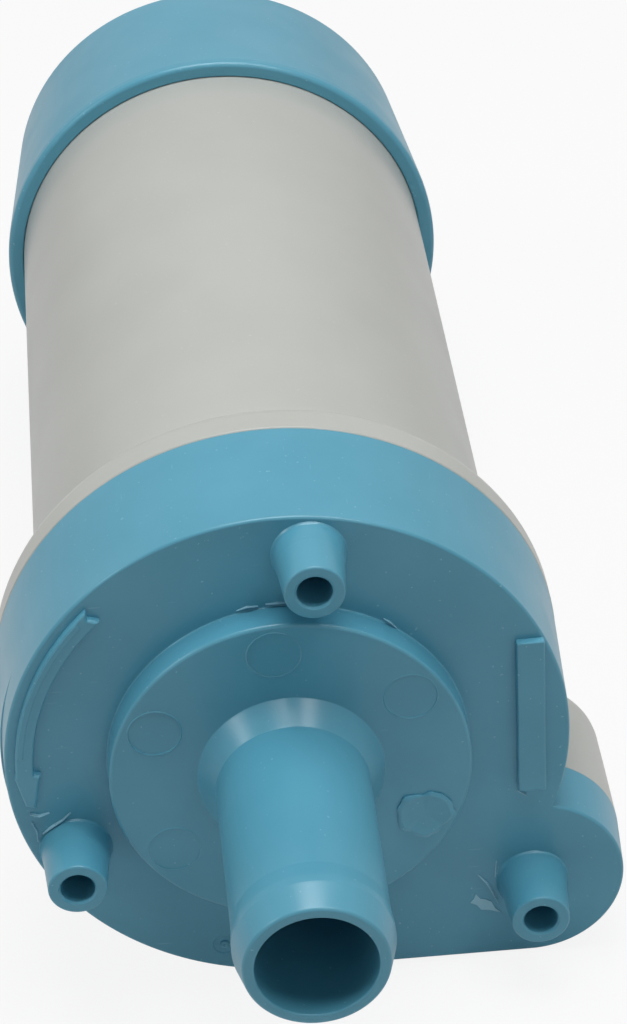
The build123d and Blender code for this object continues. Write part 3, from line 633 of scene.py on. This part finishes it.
def buildCover():
    c, n = cover, nozzle
    inner = c["radius"] - c["wall"]
    recess = c["disc"] - c["plate"]
    floor = c["face"] + c["plate"]
    body = turnPiece("inletCover", [
        (n["bore"], n["tip"], n["boreRound"]),
        (n["tipRadius"], n["tip"], n["tipRound"]),
        (n["crest"], n["crestFront"], n["crestRounds"][0]),
        (n["crest"], n["crestBack"], n["crestRounds"][1]),
        (n["waist"], n["waistFront"], n["waistRound"]),
        (n["tube"], n["footFront"], n["footRounds"][0]),
        (n["foot"], 0, n["footRounds"][1]),
        (c["disc"], 0, c["discEdge"]),
        (c["disc"], c["face"], c["discFoot"]),
        (c["radius"], c["face"], c["edge"]),
        (c["radius"] + c["growth"], c["skirtEnd"], c["skirtRound"]),
        (inner, c["skirtEnd"]),
        (inner, floor),
        (recess, floor),
        (recess, c["plate"]),
        (n["bore"], c["plate"]),
    ], bodySteps)
    away = math.hypot(*c["lobe"])                  # the underside touches both round outlines
    span = math.acos((c["radius"] - c["lobeRadius"]) / away)
    reach = away * math.sin(span)
    facing = math.degrees(math.atan2(c["lobe"][1], c["lobe"][0]) - span)
    lobe = lobeParts("lobe", [
        (0, c["face"]), (c["lobeRadius"], c["face"], c["edge"]),
        (c["lobeRadius"] + c["lobeGrowth"], c["lobeEnd"]), (0, c["lobeEnd"]),
    ], reach, facing)
    within, below = c["lobeRadius"] - c["wall"], c["lobeEnd"] + overrun
    pocket = lobeParts("pocket", [(0, floor), (within, floor), (within, below), (0, below)], reach, facing)
    swell = swellShape("swell")
    for shape in (swell, lobe):                    # neither reaches into the pump chamber
        hollow = turnPiece("hollow", [
            (0, floor), (inner, floor), (inner, c["skirtEnd"] + overrun), (0, c["skirtEnd"] + overrun),
        ], bodySteps)
        combine(shape, [hollow], "DIFFERENCE")
    combine(body, [swell, lobe], "UNION")
    combine(body, [pocket], "DIFFERENCE")
    addPosts(body)
    marks = [
        raisedMark("bar", barOutline(), c["markRoot"], bar["rise"], bar["edge"]),
        raisedMark("arrow", arrowOutline(), c["markRoot"], arrow["rise"], arrow["edge"]),
        raisedMark("ridge", ridgeOutline(), c["markRoot"], arrow["ridgeRise"], arrow["ridgeEdge"]),
    ]
    combine(body, marks, "UNION")
    addPinMarks(body)
    addFlap(body)
    addGate(body)
    finishPiece(body, "blue_plastic", ["inlet_cover"])


buildCover()


# Flash: thin ragged fins that the mould left round the posts, the bar and the disc

flash = {
    "look": {"colour": (158, 200, 214), "deep": (128, 180, 199)},
    "root": 0.2, "width": 0.22, "topShare": 0.35,
    "fins": [
        [(-32.5, -5.7, 0.35), (-31.4, -6.1, 0.5), (-30.1, -5.8, 0.25)],
        [(-27.5, -6.1, 0.2), (-28.6, -7.1, 0.4), (-29.8, -7.8, 0.55), (-31.2, -9.0, 0.3)],
        [(-32.4, -7.0, 0.2), (-31.9, -8.6, 0.4), (-31.9, -10.2, 0.25)],
        [(23.1, -22.0, 0.2), (24.2, -23.4, 0.45), (24.9, -25.0, 0.5), (25.6, -26.9, 0.2)],
        [(25.5, -20.0, 0.1), (25.3, -22.6, 0.2)],
        [(28.3, -8.9, 0.2), (29.4, -9.7, 0.3)],
        [(-5.2, 22.2, 0.1), (-4.0, 22.7, 0.35), (-2.6, 22.6, 0.15)],
        [(-1.7, 22.8, 0.2), (-0.2, 22.9, 0.4), (1.3, 22.7, 0.1)],
        [(12.4, 19.2, 0.1), (13.1, 18.7, 0.35), (13.9, 17.7, 0.15)],
    ],
    "flake": [
        (22.0, -26.5), (22.5, -25.9), (22.8, -25.1), (23.4, -26.0), (24.0, -26.1), (24.8, -26.6),
        (25.2, -27.7), (26.1, -28.6), (24.6, -28.0), (23.4, -27.8), (22.9, -27.0),
    ],
    "flakeRise": 0.14, "flakeEdge": 0.05,
}


def finPiece(points):
    # A fin along the points (across, up, rise), thin at its top
    half = flash["width"] / 2
    pieces = []
    for start, end in zip(points, points[1:]):
        run = Vector((end[0] - start[0], end[1] - start[1])).normalized() * half
        piece = raisedMark("fin", [
            (start[0] - run.y, start[1] + run.x), (end[0] - run.y, end[1] + run.x),
            (end[0] + run.y, end[1] - run.x), (start[0] + run.y, start[1] - run.x),
        ], flash["root"], 0)
        for vertex in piece.data.vertices:
            if vertex.co.y < (cover["face"] + flash["root"] / 2) * mm:      # the corners of the top
                place = Vector((vertex.co.x, vertex.co.z)) / mm
                near = min(start, end, key=lambda point: (place - Vector(point[:2])).length)
                middle = Vector(near[:2]) + (place - Vector(near[:2])) * flash["topShare"]
                vertex.co = (middle.x * mm, (cover["face"] - near[2]) * mm, middle.y * mm)
        pieces.append(piece)
    return pieces


def buildFlash():
    pieces = [piece for points in flash["fins"] for piece in finPiece(points)]
    pieces.append(raisedMark("flake", flash["flake"], flash["root"], flash["flakeRise"], flash["flakeEdge"]))
    clearSelection()
    for piece in pieces:
        piece.select_set(True)
    whole = pieces[0]
    bpy.context.view_layer.objects.active = whole
    bpy.ops.object.join()
    whole.name = whole.data.name = "mouldFlash"
    thinBlue = plasticFinish("thinBluePlastic", {**plasticLook["bluePlastic"], **flash["look"]})
    finishPiece(whole, "blue_plastic", [], thinBlue)


buildFlash()


# Pump housing: collar, shoulder, tube and the cup behind the lobe

housing = {
    "front": 14.8, "spigot": 32.75, "spigotInner": 29.8, "spigotDepth": 9.2, "inner": 27.5, "innerFrom": 13.2,
    "collar": 36.0, "collarFront": 22.4, "collarBack": 25.5, "collarEdge": 0.3, "shoulderEnd": 34.5,
    "shoulderSteps": 16, "tube": 30.5, "tubeEnd": 132.0, "rearSpigot": 29.6, "end": 152.0, "boreFrom": 8,
    "cupFront": 12.4, "cupEdge": 0.2, "cupRound": 2.2, "cupEnd": 31.0, "web": 20.1, "room": 0.1,
}


def buildHousing():
    h = housing
    turns = spread(0, 90, h["shoulderSteps"])
    places = spread(h["collarBack"], h["shoulderEnd"], h["shoulderSteps"])
    shoulder = [                                   # round at first and hollow at its end
        (h["collar"] - (h["collar"] - h["tube"]) * math.sin(math.radians(turn)) ** 2, along)
        for turn, along in zip(turns, places)
    ]
    body = turnPiece("pumpHousing", [
        (h["spigotInner"], h["front"]), (h["spigot"], h["front"]), (h["spigot"], h["collarFront"]),
        (h["collar"], h["collarFront"], h["collarEdge"]), *shoulder,
        (h["tube"], h["tubeEnd"]), (h["rearSpigot"], h["tubeEnd"]), (h["rearSpigot"], h["end"]),
        (h["inner"], h["end"]), (h["inner"], h["front"] + h["innerFrom"]),
        (h["spigotInner"], h["front"] + h["spigotDepth"]),
    ], bodySteps)
    cupBack = h["collar"] + cover["lobe"][1]
    cup = lobeParts("cup", [
        (0, cover["lobeEnd"]), (h["cupFront"], cover["lobeEnd"], h["cupEdge"]), (cupBack, h["collarFront"]),
        (cupBack, h["cupEnd"], h["cupRound"]), (0, h["cupEnd"]),
    ], h["web"])
    combine(cup, [skirtShape("skirtRoom", h["room"]), swellShape("swellRoom", h["room"])], "DIFFERENCE")
    combine(body, [cup], "UNION")
    bore = turnPiece("bore", [                     # the cup stays out of the tube
        (0, h["front"] + h["boreFrom"]), (h["inner"], h["front"] + h["boreFrom"]),
        (h["inner"], h["end"] + overrun), (0, h["end"] + overrun),
    ], bodySteps)
    combine(body, [bore], "DIFFERENCE")
    finishPiece(body, "grey_plastic", ["pump_housing"])


buildHousing()


# Outlet cap with its nozzle and the boss of the cable inlet

cap = {
    "front": 130.0, "seat": 30.55, "seatRound": 0.3,
    "rim": 32.8, "lip": 1.6, "lipRound": 0.75, "lipFoot": 0.4,
    "back": 160.6, "backRadius": 30.5, "backRound": 1.6, "inner": 27.5, "innerBack": 157.6,
    "step": 132.0, "spigotSeat": 29.65, "spigotEnd": 152.02,
}
outlet = {
    "tip": 186.6, "tipRadius": 4.6, "tipRound": 0.3, "bore": 3.5, "boreRound": 0.2,
    "crest": 5.6, "crestStart": 181.1, "crestEnd": 183.6, "crestStep": 0.8, "crestRounds": (0.3, 0.3, 0.5),
    "tube": 5.0, "foot": 7.5, "footLength": 3.0, "footRounds": (0.6, 0.8),
}
cableInlet = {
    "up": 17.0, "boss": 5.2, "bossEnd": 165.6, "bossRound": 0.3, "seat": 3.92,
    "gland": 3.9, "glandFront": 156.6, "glandRound": 0.2, "hole": 2.6, "holeRound": 0.25,
    "head": 4.9, "headEnd": 166.6, "headRounds": (0.15, 0.3),
}
glandNut = {
    "flats": 14.0, "front": 161.4, "back": 168.1, "bore": 5.25, "hole": 3.4,
    "chamfer": 0.8, "chamferPast": 0.2, "mouth": 0.5, "mouthDepth": 0.4, "mouthPast": 0.1,
}


def buildCap():
    k, o, g = cap, outlet, cableInlet
    body = turnPiece("outletCap", [
        (k["seat"], k["front"], k["seatRound"]), (k["rim"], k["front"], k["lipRound"]),
        (k["rim"], k["front"] + k["lip"], k["lipFoot"]), (k["backRadius"], k["back"], k["backRound"]),
        (o["foot"], k["back"], o["footRounds"][0]),
        (o["tube"], k["back"] + o["footLength"], o["footRounds"][1]),
        (o["tube"], o["crestStart"] - o["crestStep"], o["crestRounds"][0]),
        (o["crest"], o["crestStart"], o["crestRounds"][1]), (o["crest"], o["crestEnd"], o["crestRounds"][2]),
        (o["tipRadius"], o["tip"], o["tipRound"]), (o["bore"], o["tip"], o["boreRound"]),
        (o["bore"], k["innerBack"]), (k["inner"], k["innerBack"]), (k["inner"], k["spigotEnd"]),
        (k["spigotSeat"], k["spigotEnd"]), (k["spigotSeat"], k["step"]), (k["seat"], k["step"]),
    ], bodySteps)
    boss = turnPiece("boss", [
        (0, k["innerBack"]), (g["boss"], k["innerBack"]),
        (g["boss"], g["bossEnd"], g["bossRound"]), (0, g["bossEnd"]),
    ], smallSteps, (0, g["up"]))
    combine(body, [boss], "UNION")
    seat = turnPiece("seat", [
        (0, g["glandFront"]), (g["seat"], g["glandFront"]),
        (g["seat"], g["bossEnd"] + overrun), (0, g["bossEnd"] + overrun),
    ], smallSteps, (0, g["up"]))
    combine(body, [seat], "DIFFERENCE")
    finishPiece(body, "blue_plastic", ["outlet_cap"])


def buildGland():
    g = cableInlet
    gland = turnPiece("cableGland", [
        (g["hole"], g["glandFront"]),
        (g["gland"], g["glandFront"], g["glandRound"]), (g["gland"], g["bossEnd"]),
        (g["head"], g["bossEnd"], g["headRounds"][0]), (g["head"], g["headEnd"], g["headRounds"][1]),
        (g["hole"], g["headEnd"], g["holeRound"]),
    ], smallSteps, (0, g["up"]))
    finishPiece(gland, "rubber", ["cable_gland"])


def buildNut():
    # A nut with chamfered corners that closes over the gland's head
    n = glandNut
    axis = (0, cableInlet["up"])
    headEnd = cableInlet["headEnd"]
    half = n["flats"] / 2
    corner = half / math.cos(math.radians(30))
    six = [around(corner, 60 * number) for number in range(6)]
    hexagon = [(x, n["front"], z + axis[1]) for x, z in six]
    nut = slabPiece("glandNut", hexagon, (0, n["back"] - n["front"], 0))
    past = corner + n["chamferPast"]
    chamfer = turnPiece("chamfer", [
        (0, n["front"] - overrun), (half, n["front"] - overrun), (half, n["front"]),
        (past, n["front"] + n["chamfer"]), (past, n["back"] - n["chamfer"]),
        (half, n["back"]), (half, n["back"] + overrun), (0, n["back"] + overrun),
    ], smallSteps, axis)
    combine(nut, [chamfer], "INTERSECT")
    mouth = n["hole"] + n["mouth"]
    hollow = turnPiece("nutHollow", [
        (0, n["front"] - overrun), (n["bore"], n["front"] - overrun),
        (n["bore"], headEnd), (n["hole"], headEnd),
        (n["hole"], n["back"] - n["mouthDepth"]), (mouth, n["back"] + n["mouthPast"]),
        (mouth, n["back"] + overrun), (0, n["back"] + overrun),
    ], smallSteps, axis)
    combine(nut, [hollow], "DIFFERENCE")
    finishPiece(nut, "black_plastic", ["gland_nut"])


buildCap()
buildGland()
buildNut()


# Floor, lamps and surroundings

studio = {
    "floorLevel": -36.1, "floorColour": (0.7, 0.7, 0.7), "floorRough": 0.9,
    "floorGlow": 0.88, "floorGloss": 0.3,
    "floorSize": 12,                               # in metres, as are the lamps; their power is in watts
    "lamps": {
        "top": {"place": (0.02, 0.06, 0.76), "aim": (0, 0.05, 0), "size": 0.5, "power": 4.25},
        "window": {"place": (0.3, -0.14, 0.66), "aim": (0, 0, 0), "size": 0.14, "power": 0.8},
        "left": {"place": (-0.62, -0.08, 0.46), "aim": (0, 0, 0), "size": 0.16, "power": 0.9},
        "front": {"place": (0.3, -0.8, 0.5), "aim": (0, 0, 0), "size": 0.5, "power": 0.42},
    },
    "world": 0.17, "worldGloss": 0.7,
}


def addFloor():
    # The floor glows to the camera, less so in reflections, and is plain grey to the rest
    bpy.ops.mesh.primitive_plane_add(size=studio["floorSize"], location=(0, 0, studio["floorLevel"] * mm))
    floor = bpy.context.object
    floor.name = "floor"
    s = Sketch("floorPaint")
    s.plug(s.skin.inputs["Base Color"], (*studio["floorColour"], 1))
    s.skin.inputs["Roughness"].default_value = studio["floorRough"]
    rays = s.add("LightPath")
    glow = s.add("Emission", {"Color": (1, 1, 1, 1), "Strength": 1.0})
    blend = s.add("MixShader")
    share = s.math(
        "MAXIMUM",
        s.math("MULTIPLY", rays.outputs["Is Camera Ray"], studio["floorGlow"]),
        s.math("MULTIPLY", rays.outputs["Is Glossy Ray"], studio["floorGloss"]),
    )
    s.plug(blend.inputs[0], share)
    s.plug(blend.inputs[1], s.skin.outputs[0])
    s.plug(blend.inputs[2], glow.outputs[0])
    s.plug(s.tree.nodes["Material Output"].inputs["Surface"], blend.outputs[0])
    floor.data.materials.append(s.finish)


def addLamps():
    for name, lamp in studio["lamps"].items():
        data = bpy.data.lights.new(name, "AREA")
        data.shape = "DISK"
        data.size = lamp["size"]
        data.energy = lamp["power"]
        light = bpy.data.objects.new(name, data)
        bpy.context.scene.collection.objects.link(light)
        light.location = lamp["place"]
        aim = Vector(lamp["aim"]) - Vector(lamp["place"])
        light.rotation_euler = aim.to_track_quat("-Z", "Y").to_euler()


def addWorld():
    # The camera sees white, reflections a bright room, and the rest a dim one
    world = bpy.data.worlds.new("studio")
    bpy.context.scene.world = world
    world.use_nodes = True
    tree = world.node_tree
    rays = tree.nodes.new("ShaderNodeLightPath")
    sky = tree.nodes["Background"]
    seen = tree.nodes.new("ShaderNodeBackground")
    blend = tree.nodes.new("ShaderNodeMixShader")
    strength = tree.nodes.new("ShaderNodeMapRange")
    strength.inputs["To Min"].default_value = studio["world"]
    strength.inputs["To Max"].default_value = studio["worldGloss"]
    sky.inputs["Color"].default_value = (1, 1, 1, 1)
    seen.inputs["Color"].default_value = (1, 1, 1, 1)
    seen.inputs["Strength"].default_value = 1
    tree.links.new(rays.outputs["Is Glossy Ray"], strength.inputs["Value"])
    tree.links.new(strength.outputs[0], sky.inputs["Strength"])
    tree.links.new(rays.outputs["Is Camera Ray"], blend.inputs[0])
    tree.links.new(sky.outputs[0], blend.inputs[1])
    tree.links.new(seen.outputs[0], blend.inputs[2])
    tree.links.new(blend.outputs[0], tree.nodes["World Output"].inputs["Surface"])


addFloor()
addLamps()
addWorld()
print("floor, lamps and surroundings made")
bpy.context.scene.view_settings.view_transform = "Standard"
clearSelection()
